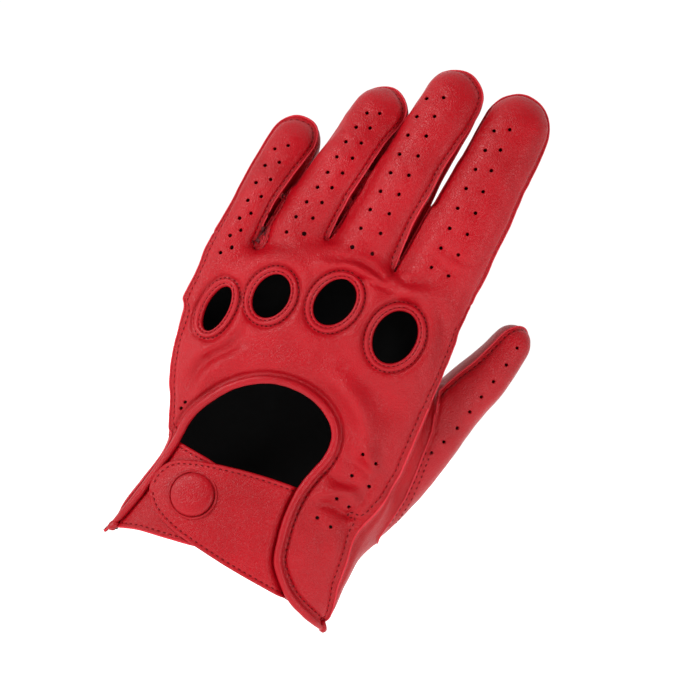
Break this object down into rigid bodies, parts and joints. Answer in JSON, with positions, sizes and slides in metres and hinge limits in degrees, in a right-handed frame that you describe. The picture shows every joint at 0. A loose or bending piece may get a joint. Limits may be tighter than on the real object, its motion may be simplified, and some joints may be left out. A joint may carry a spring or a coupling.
{
  "type": "driving glove",
  "caption": "Left-hand short-cuff leather driving glove with oval knuckle holes, a round back opening, rows of perforations and a snap-fastened wrist strap.",
  "frame": {"origin": "centre of the wrist opening, level with the two cuff corners", "axes": "+Z from the wrist opening to the fingertips, +X to the thumb, +Y to the palm side, so the back of the hand faces -Y"},
  "size_m": [0.1275, 0.0452, 0.2138],
  "materials": {
    "red_leather": "smooth semi-gloss nappa leather, fine grain",
    "black_lining": "thin matt black lining",
    "red_thread": "dark red sewing thread",
    "snap_metal": "dark plated press-stud parts"
  },
  "bodies": {
    "hand": {"back_panel": "red_leather", "palm_panel": "red_leather", "palm_lining": "black_lining", "palm_hem_binding": "red_leather", "thumb_root": "red_leather", "knuckle_binding_little": "red_leather", "knuckle_binding_ring": "red_leather", "knuckle_binding_middle": "red_leather", "knuckle_binding_index": "red_leather", "opening_binding": "red_leather", "stud_tab": "red_leather", "snap_stud": "snap_metal", "stud_eyelet": "snap_metal", "strap_fixed_end": "red_leather"},
    "strap": {"closing_strap": "red_leather", "strap_lining": "red_leather", "snap_socket": "snap_metal", "snap_cap": "red_leather"},
    "little_finger": {"little_back": "red_leather", "little_palm": "red_leather", "little_fourchette_thumb_side": "red_leather"},
    "ring_finger": {"ring_back": "red_leather", "ring_palm": "red_leather", "ring_fourchette_little_side": "red_leather", "ring_fourchette_thumb_side": "red_leather"},
    "middle_finger": {"middle_back": "red_leather", "middle_palm": "red_leather", "middle_fourchette_little_side": "red_leather", "middle_fourchette_thumb_side": "red_leather"},
    "index_finger": {"index_back": "red_leather", "index_palm": "red_leather", "index_fourchette_little_side": "red_leather"},
    "thumb": {"thumb_back": "red_leather", "thumb_palm": "red_leather"}
  },
  "joints": [
    {"name": "strap_open", "type": "hinge", "parent": "hand", "child": "strap", "pos_m": [0.0139, -0.01845, 0.025], "axis": [0, 0.0624, 0.9981], "range_deg": [0, 110]},
    {"name": "little_flex", "type": "hinge", "parent": "hand", "child": "little_finger", "pos_m": [-0.0476, 0.0044, 0.124], "axis": [-0.9962, 0, 0.0872], "range_deg": [0, 60]},
    {"name": "ring_flex", "type": "hinge", "parent": "hand", "child": "ring_finger", "pos_m": [-0.0263, 0.0022, 0.139], "axis": [-0.9905, 0, 0.1374], "range_deg": [0, 60]},
    {"name": "middle_flex", "type": "hinge", "parent": "hand", "child": "middle_finger", "pos_m": [-0.0019, -0.0004, 0.142], "axis": [-0.9959, 0, 0.0906], "range_deg": [0, 60]},
    {"name": "index_flex", "type": "hinge", "parent": "hand", "child": "index_finger", "pos_m": [0.0267, -0.0026, 0.142], "axis": [-0.9991, 0, 0.0419], "range_deg": [0, 60]},
    {"name": "thumb_flex", "type": "hinge", "parent": "hand", "child": "thumb", "pos_m": [0.0535, 0.015, 0.098], "axis": [-0.9532, 0, 0.3024], "range_deg": [0, 40]}
  ]
}
